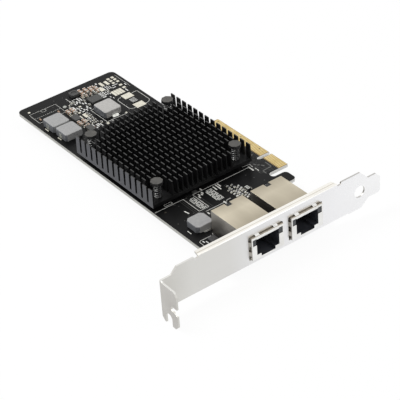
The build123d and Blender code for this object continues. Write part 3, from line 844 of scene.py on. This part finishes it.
# bare pads: X, distance back, width, length
CREAM_PADS = [
    (-23.7, 162.1, 1.5, 3.9), (-20.9, 161.7, 1.6, 3.9), (-26.4, 158.5, 2.1, 4.0),
    (-18.3, 164.1, 1.5, 1.7), (-18.3, 161.8, 1.5, 1.5), (-18.4, 159.3, 1.5, 1.5),
    (-15.8, 164.1, 1.5, 1.7), (-15.8, 161.8, 1.5, 1.5), (-15.8, 159.3, 1.5, 1.5),
    (-16.7, 155.4, 1.7, 1.4), (-16.7, 152.4, 1.8, 1.5),
    (-23.9, 150.7, 1.38, 4.8), (-22.35, 150.7, 1.33, 4.8), (-20.85, 150.7, 1.33, 4.8),
    (-19.35, 150.7, 1.35, 4.8), (-20.2, 144.5, 5.3, 4.4), (-20.3, 134.0, 5.5, 4.4),
    (-45.8, 143.6, 1.6, 3.8), (-48.2, 143.9, 0.8, 2.6), (-48.0, 139.8, 0.8, 2.2),
    (-51.1, 147.9, 1.6, 0.9), (-51.3, 135.4, 1.7, 1.1), (-41.5, 130.4, 1.3, 1.6),
    (-29.4, 132.3, 1.0, 0.9), (-46.6, 147.6, 1.2, 1.2), (-43.3, 152.2, 1.3, 1.1),
    (-37.3, 158.3, 1.4, 1.3), (-35.2, 158.3, 1.4, 1.3),
]

# narrow runs of solder that lie along the card: X, distance back, width, length
SOLDER_BARS = [
    (-46.5, 152.3, 0.8, 3.2), (-45.3, 151.4, 0.6, 1.7), (-42.1, 156.5, 0.6, 1.7),
    (-40.6, 157.6, 0.6, 3.2), (-39.4, 157.5, 0.6, 3.0), (-40.7, 153.4, 0.6, 1.6),
    (-39.5, 152.7, 0.6, 1.6), (-41.4, 155.0, 0.5, 1.5), (-42.9, 155.5, 0.5, 1.5),
    (-44.0, 155.2, 0.5, 1.5), (-40.7, 149.6, 0.6, 1.8), (-40.4, 147.4, 0.6, 1.4),
    (-45.3, 148.7, 0.7, 1.1), (-44.6, 147.0, 1.3, 0.6), (-43.3, 148.2, 0.6, 1.5),
    (-42.4, 147.2, 0.6, 1.7), (-41.4, 148.5, 0.5, 1.4), (-44.9, 150.4, 0.6, 1.2),
    (-43.7, 150.1, 0.6, 1.1), (-45.7, 139.9, 0.5, 2.4), (-46.5, 132.0, 0.6, 2.6),
    (-45.5, 132.4, 0.6, 2.2), (-44.6, 131.4, 0.5, 2.8), (-48.1, 133.4, 0.5, 2.6),
    (-47.7, 130.6, 0.9, 1.0), (-38.6, 130.6, 0.7, 1.3), (-29.7, 155.5, 0.8, 0.8),
    (-28.7, 155.5, 0.8, 0.8), (-27.6, 155.1, 0.8, 0.8), (-29.7, 154.2, 0.8, 0.8),
    (-28.7, 154.2, 0.8, 0.8), (-27.6, 153.8, 0.8, 0.8), (-29.7, 152.8, 0.8, 0.8),
    (-28.7, 152.8, 0.8, 0.8), (-27.6, 152.4, 0.8, 0.8), (-29.7, 151.2, 0.8, 1.0),
    (-28.7, 151.2, 0.8, 1.0), (-26.4, 154.4, 0.45, 1.2), (-26.4, 152.5, 0.45, 1.2),
    (-25.4, 153.9, 0.45, 1.2), (-25.4, 151.9, 0.45, 1.2), (-27.0, 149.2, 0.4, 1.2),
    (-26.4, 147.4, 0.4, 1.2), (-25.2, 157.6, 0.35, 3.6), (-23.9, 157.6, 0.35, 3.6),
    (-22.9, 157.4, 0.35, 3.6), (-21.9, 157.0, 0.35, 2.8), (-19.0, 157.2, 3.2, 0.45),
    (-20.6, 155.4, 2.0, 0.5), (-17.3, 149.3, 0.6, 2.6), (-25.7, 164.2, 0.8, 1.3),
    (-26.9, 162.2, 0.8, 1.0), (-14.7, 154.2, 0.5, 1.7),
]

# chip parts near the tail: X, distance back, width, length
TAIL_RESISTORS = [
    (-44.6, 158.2, 0.7, 1.3), (-43.4, 157.7, 0.7, 1.3), (-46.2, 156.3, 1.2, 0.7),
    (-47.2, 149.6, 0.7, 1.2), (-48.6, 147.6, 0.7, 1.2), (-44.2, 144.9, 1.1, 0.7),
    (-44.0, 143.3, 1.1, 0.7), (-44.0, 141.7, 1.1, 0.7), (-44.3, 139.4, 0.7, 1.2),
    (-46.9, 139.4, 0.7, 1.2), (-46.6, 137.2, 1.2, 0.7), (-44.6, 137.2, 1.2, 0.7),
    (-46.8, 135.3, 1.2, 0.7), (-44.8, 135.2, 1.2, 0.7), (-43.2, 133.4, 0.7, 1.2),
    (-49.3, 132.2, 0.7, 1.2), (-38.6, 155.2, 0.7, 1.2), (-38.7, 150.7, 0.7, 1.2),
    (-30.4, 158.0, 0.7, 1.2), (-24.6, 155.0, 0.7, 1.2), (-47.6, 154.2, 0.7, 1.2),
]
TAIL_CERAMICS = [
    (-37.2, 159.0, 0.8, 1.6), (-35.2, 158.0, 0.8, 1.6), (-33.0, 157.6, 0.8, 1.6),
    (-29.2, 157.2, 1.6, 0.8), (-28.9, 163.2, 1.6, 0.8), (-47.8, 149.4, 0.8, 1.6),
    (-51.4, 135.2, 1.6, 0.8), (-49.4, 135.4, 0.8, 1.6), (-51.6, 131.8, 1.6, 0.8),
    (-48.8, 131.0, 0.8, 1.6), (-47.4, 150.9, 0.8, 1.6),
]

# printed lines near the tail: width, then points of X and distance back
TAIL_LINES = [
    (SILK_LINE, [(-44.5, 156.4), (-44.5, 163.0)]),
    (SILK_LINE, [(-43.2, 159.6), (-39.6, 159.6)]),
    (FINE_LINE, corners(-66.2, -51.0, 153.0, 162.5)),
    (FINE_LINE, [(-59.9, 162.5), (-59.9, 160.9), (-59.3, 160.4), (-58.0, 160.4),
                 (-57.4, 160.9), (-57.4, 162.5)]),
    (SILK_LINE, [(-29.3, 145.8), (-41.2, 145.8), (-41.2, 131.6), (-29.3, 131.6)]),
    (SILK_LINE, [(-16.8, 145.3), (-13.9, 145.3), (-13.9, 134.6), (-15.6, 132.9), (-25.0, 132.9),
                 (-26.3, 134.2), (-26.3, 144.0), (-25.0, 145.3), (-23.6, 145.3)]),
    (0.12, [(-13.6, 151.5), (-13.6, 165.0)]),
]


def tail_parts(parts):
    """Pads, outlines and chips round the tail of the board."""
    for x, back, width, length in CREAM_PADS:
        parts.pads.box(x, back, width, length, 0, PAD_TOP)
    for x, back, width, length in SOLDER_BARS:
        parts.ends.box(x, back, width, length, 0, SOLDER_TOP)
    for x, back, width, length in TAIL_RESISTORS:
        parts.chip(parts.resistor, x, back, width, length, 0.45)
    for x, back, width, length in TAIL_CERAMICS:
        parts.chip(parts.ceramic, x, back, width, length, 0.8, ends=0.2)
    for width, points in TAIL_LINES:
        parts.silk.line(points, width, 0, SILK_TOP)
    for index in range(13):
        parts.silk.box(-65.5 + index * 1.15, 157.6, 0.6, 0.18, 0, SILK_TOP)
    for x in (-64.3, -53.7):
        parts.ceramic.box(x, 155.2, 0.7, 1.6, 0, 0.4)
    parts.array_chip(-20.4, 139.0, 3.5, 4.0, 0.3)
    parts.round_can(-49.4, 156.3, 1.0, 0.9)
    parts.pads.disc(-64.9, 164.7, 0.65, 0, PAD_TOP)


# bright chip parts between the heatsink and the jacks: X, distance back, length
FRONT_PARTS = [
    (-31.9, 48.6, 2.4), (-29.8, 47.9, 2.8), (-33.4, 45.5, 2.6), (-31.9, 45.4, 2.2),
    (-29.2, 44.6, 2.4), (-27.9, 45.3, 2.8), (-33.2, 41.5, 2.8), (-30.8, 43.4, 1.9),
    (-30.7, 40.8, 2.2), (-28.8, 41.3, 2.6), (-31.9, 39.8, 1.8), (-30.1, 37.6, 2.2),
    (-28.6, 38.4, 1.8), (-31.8, 42.6, 1.6),
]

# printed bars between the heatsink and the jacks: X, distance back, length
FRONT_BARS = [
    (-36.9, 52.2, 3.2), (-35.2, 52.0, 4.6), (-34.0, 53.0, 2.8), (-42.2, 55.9, 1.6),
    (-46.2, 51.3, 1.6), (-45.4, 52.8, 1.4), (-44.2, 52.3, 1.4), (-43.3, 53.2, 1.6),
    (-50.7, 38.8, 1.6),
]

# printed lines between the heatsink and the jacks: width, then points of X and distance back
FRONT_LINES = [
    (SILK_LINE, [(-68.3, 54.9), (-14.6, 54.9)]),
    (THICK_LINE, [(-15.1, 55.2), (-15.1, 51.8)]),
    (SILK_LINE, [(-17.3, 57.1), (-13.4, 56.6)]),
    (SILK_LINE, corners(-62.0, -58.0, 55.7, 57.1)),
    (SILK_LINE, [(-50.6, 40.7), (-39.0, 40.7), (-38.6, 41.4), (-36.4, 41.4)]),
    (THICK_LINE, [(-40.2, 41.2), (-40.2, 37.6)]),
    (SILK_LINE, corners(-52.8, -47.5, 42.8, 54.9)),
    (SILK_LINE, [(-66.7, 19.5), (-66.7, 24.3), (-65.9, 24.9), (-60.2, 24.9)]),
    (SILK_LINE, [(-58.9, 25.2), (-58.4, 25.8)]),
]

# blocks of printed marks: left, right, near and far edge, then the pitch of the marks
MARK_BLOCKS = [(-51.3, -48.6, 43.2, 53.6), (-42.0, -38.2, 43.5, 53.9)]
MARK_PITCH_X = 0.8
MARK_PITCH_Y = 0.66


def mark_block(silk, left, right, near, far):
    """Rows of plain marks with blanks at regular places."""
    for row in range(int((far - near) / MARK_PITCH_Y)):
        for column in range(int((right - left) / MARK_PITCH_X) + 1):
            if (row * 3 + column * 5) % 7 == 0:
                continue
            silk.box(left + 0.3 + column * MARK_PITCH_X, near + 0.3 + row * MARK_PITCH_Y,
                     0.52, 0.46, 0, PAD_TOP)


def marked_chip(parts, x, back, height):
    """Chip with three marks on its top and three pads on each side."""
    parts.chips.box(x, back, 2.2, 2.6, 0, height)
    for index in range(3):
        beside = back - 0.9 + index * 0.95
        parts.silk.box(x, beside, 1.6, 0.4, height, height + SILK_TOP)
        for side in (-1, 1):
            parts.pads.box(x + side * 1.4, beside, 0.8, 0.4, 0, PAD_TOP)


def corner_part(parts, x, back):
    """Dark part with a metal end before and behind it."""
    parts.resistor.box(x, back, 3.8, 5.2, 0, 1.0)
    for side in (-1, 1):
        parts.ends.box(x, back + side * 2.7, 2.4, 0.5, 0, 0.5)


def front_parts(parts):
    """Pads, outlines and chips between the heatsink and the jacks."""
    for width, points in FRONT_LINES:
        parts.silk.line(points, width, 0, SILK_TOP)
    for block in MARK_BLOCKS:
        mark_block(parts.silk, *block)
    for x, back, length in FRONT_BARS:
        parts.silk.box(x, back, 0.6, length, 0, PAD_TOP)
    for x, back, length in FRONT_PARTS:
        parts.chip(parts.resistor, x, back, 0.85, length, 0.4)
    parts.silk.box(-57.6, 45.8, 0.5, 2.9, 0, SILK_TOP, math.radians(10))
    parts.silk.box(-65.7, 33.0, 0.35, 2.8, 0, SILK_TOP)
    parts.chips.box(-45.6, 55.8, 2.3, 1.8, 0, 0.5)
    marked_chip(parts, -26.2, 42.0, 0.8)
    parts.ends.box(-65.3, 23.2, 0.5, 1.5, 0, SOLDER_TOP)
    parts.ends.box(-64.2, 22.0, 0.5, 1.9, 0, SOLDER_TOP)
    corner_part(parts, -61.3, 21.2)
    # dark disc of painted shade for a hole
    parts.holes.disc(-64.6, 52.1, 0.5, 0, PAD_TOP)


# ends of the two inductors that lie across: number, height, shift along X, length of the solder
CROSSWISE_ENDS = [(3, 1.5, 0.8, 1.5), (4, 0.25, 0.4, 0.9)]


def inductor_ends(parts):
    """Flat metal ends that fold under each moulded inductor."""
    for number in (1, 2):
        middle, low, high = middle_of(f"inductor_{number}")
        back = middle.y - FACE_Y
        for side, edge in ((-1, low.x), (1, high.x)):
            parts.plates.box(edge + side * 0.06, back, 0.14, 2.2, 0, 2.7)
            parts.pads.box(edge + side * 0.8, back, 0.5, 3.0, 0, PAD_TOP)
    for number, tall, shift, length in CROSSWISE_ENDS:
        middle, low, high = middle_of(f"inductor_{number}")
        x = middle.x + shift
        for side, edge in ((-1, low.y - FACE_Y), (1, high.y - FACE_Y)):
            parts.ends.box(x, edge + side * 0.2, 3.6, 0.4, 0, tall)
            parts.ends.box(x, edge + side * (length + 0.1) / 2, 3.8, length, 0, 0.1)


# bare copper runs along the connector's edge: points of X and distance back, then the width
EDGE_RUNS = [
    ([(-7.6, 62.0), (-9.2, 61.4), (-10.4, 60.2), (-11.6, 58.0)], 0.5),
    ([(-11.9, 55.4), (-11.2, 54.0), (-10.0, 52.8), (-9.2, 51.4)], 0.6),
    ([(-12.2, 45.9), (-12.2, 48.4), (-7.0, 48.6), (-6.9, 53.0)], 0.35),
]
EDGE_MARKS = [(-13.4, 56.2), (-13.6, 54.6), (-13.4, 52.0), (-13.4, 50.4)]
CONTACT_HOLES = (63.7, 77.7, 95.2)

# masked discs at random places: count, left edge, width, near edge, length; none under the sink
TOP_VIAS = (230, -67.0, 53.5, 28.5, 138.0)
LOW_VIAS = (260, -66.5, 52.0, 26.0, 140.0)
SINK_SPAN = (54.5, 118.0)

# solder tails of a jack: columns, rows, pitch and half thickness; cone of solder round each
TAIL_COLUMNS = 5
TAIL_ROWS = 2
TAIL_PITCH = 2.54
TAIL_HALF = 0.225
CONE_TIP = 0.3
CONE_FOOT = 0.85
CONE_HEIGHT = 0.75

# capacitors under the controller: rows and columns, first place, pitch, share of blanks, size
GRID = 8
GRID_X = -51.0
GRID_BACK = 76.0
GRID_PITCH = 3.0
GRID_BLANKS = 0.25
LOW_CAPACITOR = (1.2, 0.65)


def scattered(count, left, width, near, length):
    """Random places in a rectangle of the board."""
    for _ in range(count):
        x = left + width * random.random()
        yield x, near + length * random.random()


def runs_behind_key(batch, xs, jogs, low, high):
    """Runs from the contacts behind the key, in pairs that jog one way or the other."""
    for index in range(CONTACTS_BEHIND):
        back = KEY_BACK + FIRST_CONTACT + index
        moved = back + (jogs[0] if index % 4 < 2 else jogs[1])
        points = list(zip((CONTACT_END, *xs), (back, back, moved, moved)))
        batch.line(points, RUN_WIDTH, low, high)


def runs_before_key(batch):
    """Runs from the contacts before the key, which turn back along the board."""
    for index in range(CONTACTS_BEFORE):
        back = KEY_BACK - FIRST_CONTACT - index
        x = -8.6 - 0.55 * index
        bend = KEY_BACK + 0.3 - 0.5 * index
        batch.line([(CONTACT_END, back), (-7.0, back), (x, back + 1.6), (x, bend),
                    (x - 1.6, bend + 1.6)], 0.24, 0, TRACE_TOP)


def traces(parts):
    """Copper runs under the mask, from the contacts towards the controller."""
    runs_behind_key(parts.traces, (-8.0, -9.0, -13.0), (0.6, -0.2), 0, TRACE_TOP)
    runs_before_key(parts.traces)
    for index in range(10):
        x = -58.0 + index
        parts.traces.line([(x, 27.5), (x, 34.0), (x + 3.0, 37.5), (x + 3.0, 56.0)],
                          0.2, 0, TRACE_TOP)
    for points, width in EDGE_RUNS:
        parts.ground.line(points, width, 0, SILK_TOP)
    for x, back in EDGE_MARKS:
        parts.silk.box(x, back, 0.4, 1.2, 0, SILK_TOP)
    random.seed(21)
    for x, back in scattered(*TOP_VIAS):
        if not SINK_SPAN[0] < back < SINK_SPAN[1]:
            parts.via(x, back, 0, TRACE_TOP)
    # dark discs of painted shade for the holes by the contacts
    for back in CONTACT_HOLES:
        parts.holes.disc(-1.8, back, 0.28, 0, 0.06, 12)


def tail_joints(parts):
    """Cones of solder round the tails of the jacks."""
    for number in (1, 2):
        low, high = (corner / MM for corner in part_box(f"jack_tails_{number}"))
        for column in range(TAIL_COLUMNS):
            for row in range(TAIL_ROWS):
                x = low.x + TAIL_HALF + TAIL_PITCH * column
                back = high.y - FACE_Y - TAIL_HALF - TAIL_PITCH * row
                parts.ends.disc(x, back, CONE_TIP, BOARD_LOW - CONE_HEIGHT, BOARD_LOW, 12,
                                top=CONE_FOOT)


def underside(parts):
    """Solder joints, decoupling capacitors and runs on the underside."""
    tail_joints(parts)
    random.seed(33)
    for column in range(GRID):
        for row in range(GRID):
            if random.random() < GRID_BLANKS:
                continue
            size = LOW_CAPACITOR if (column + row) % 2 == 0 else reversed(LOW_CAPACITOR)
            parts.chip(parts.ceramic, GRID_X + column * GRID_PITCH, GRID_BACK + row * GRID_PITCH,
                       *size, 0.5, down=True)
    low = BOARD_LOW - TRACE_TOP
    for x, back in scattered(*LOW_VIAS):
        parts.via(x, back, low, BOARD_LOW)
    runs_behind_key(parts.traces, (-9.0, -12.0, -24.0), (0.5, -0.3), low, BOARD_LOW)


# stage, light and camera
def white_where_seen(tree):
    """Factor that is 1 for rays from the camera and rays that metal and glass send on."""
    path = tree.nodes.new("ShaderNodeLightPath")
    bounced = arithmetic(tree, "MAXIMUM", path.outputs["Is Camera Ray"],
                         path.outputs["Is Glossy Ray"])
    return arithmetic(tree, "MAXIMUM", bounced, path.outputs["Is Transmission Ray"])


def mixed_output(tree, kind, factor, first, second):
    """End of a node tree that mixes two shaders."""
    mix = tree.nodes.new("ShaderNodeMixShader")
    output = tree.nodes.new(kind)
    tree.links.new(factor, mix.inputs["Fac"])
    tree.links.new(first.outputs[0], mix.inputs[1])
    tree.links.new(second.outputs[0], mix.inputs[2])
    tree.links.new(mix.outputs[0], output.inputs["Surface"])


def background(tree, strength):
    node = tree.nodes.new("ShaderNodeBackground")
    node.inputs["Color"].default_value = (1, 1, 1, 1)
    node.inputs["Strength"].default_value = strength
    return node


def world():
    """White surroundings, dimmer where they light matt surfaces."""
    sky = bpy.data.worlds.new("studio")
    sky.use_nodes = True
    tree = sky.node_tree
    tree.nodes.clear()
    mixed_output(tree, "ShaderNodeOutputWorld", white_where_seen(tree),
                 background(tree, SKY_LIGHT), background(tree, 1.0))
    bpy.context.scene.world = sky


def floor_material():
    """Paper that glows white to the camera and still takes a soft shadow."""
    material = bpy.data.materials.new("studio_floor")
    material.use_nodes = True
    tree = material.node_tree
    tree.nodes.clear()
    paper = tree.nodes.new("ShaderNodeBsdfDiffuse")
    seen = tree.nodes.new("ShaderNodeLightPath").outputs["Is Camera Ray"]
    grey = (FLOOR_GREY, FLOOR_GREY, FLOOR_GREY, 1)
    shade = ramp(tree, seen, [(0.4, grey), (0.6, (1, 1, 1, 1))])
    tree.links.new(shade, paper.inputs["Color"])
    glow = tree.nodes.new("ShaderNodeEmission")
    glow.inputs["Strength"].default_value = 1.0
    share = arithmetic(tree, "MULTIPLY", white_where_seen(tree), FLOOR_GLOW)
    mixed_output(tree, "ShaderNodeOutputMaterial", share, paper, glow)
    return material


def floor():
    data = bpy.data.meshes.new("floor")
    low = CAD_BOX[0][2] - FLOOR_GAP
    square = corners(-FLOOR_REACH, FLOOR_REACH, -FLOOR_REACH, FLOOR_REACH)
    data.from_pydata([(x, y, low) for x, y in square[:4]], [], [(0, 1, 2, 3)])
    data.materials.append(floor_material())
    thing = bpy.data.objects.new("floor", data)
    bpy.context.scene.collection.objects.link(thing)


def lamp(name, spot, size, power):
    data = bpy.data.lights.new(name, "AREA")
    data.shape = "DISK"
    data.size = size
    data.energy = power
    thing = bpy.data.objects.new(name, data)
    thing.location = Vector(spot)
    thing.rotation_euler = (Vector(LAMP_AIM) - Vector(spot)).to_track_quat("-Z", "Y").to_euler()
    bpy.context.scene.collection.objects.link(thing)


def camera():
    azimuth = math.radians(VIEW_AZIMUTH)
    elevation = math.radians(VIEW_ELEVATION)
    roll = math.radians(VIEW_ROLL)
    back = Vector((math.sin(azimuth) * math.cos(elevation),
                   -math.cos(azimuth) * math.cos(elevation), math.sin(elevation)))
    right = Vector((math.cos(azimuth), math.sin(azimuth), 0))
    up = back.cross(right)
    turned_right = right * math.cos(roll) + up * math.sin(roll)
    turned_up = up * math.cos(roll) - right * math.sin(roll)
    data = bpy.data.cameras.new("camera")
    data.lens = LENS
    data.sensor_width = SENSOR
    data.sensor_fit = "HORIZONTAL"
    data.shift_x, data.shift_y = SHIFT
    data.clip_start = 0.01
    data.clip_end = 20
    thing = bpy.data.objects.new("camera", data)
    spot = (Vector(VIEW_TARGET) + back * VIEW_DISTANCE) * MM
    turn = Matrix((turned_right, turned_up, back)).transposed().to_4x4()
    thing.matrix_world = Matrix.Translation(spot) @ turn
    bpy.context.scene.collection.objects.link(thing)
    bpy.context.scene.camera = thing


dress_frame()
coil_springs()
bracket_screws()
parts = Populated()
large_capacitors(parts)
inductor_ends(parts)
tail_parts(parts)
front_parts(parts)
traces(parts)
underside(parts)
parts.done()
world()
floor()
camera()
lamp("key", (-0.45, 0.45, 0.95), 0.6, 6.5)
lamp("fill", (0.35, -0.8, 0.6), 0.8, 2.0)

bpy.context.scene.view_settings.view_transform = "Standard"
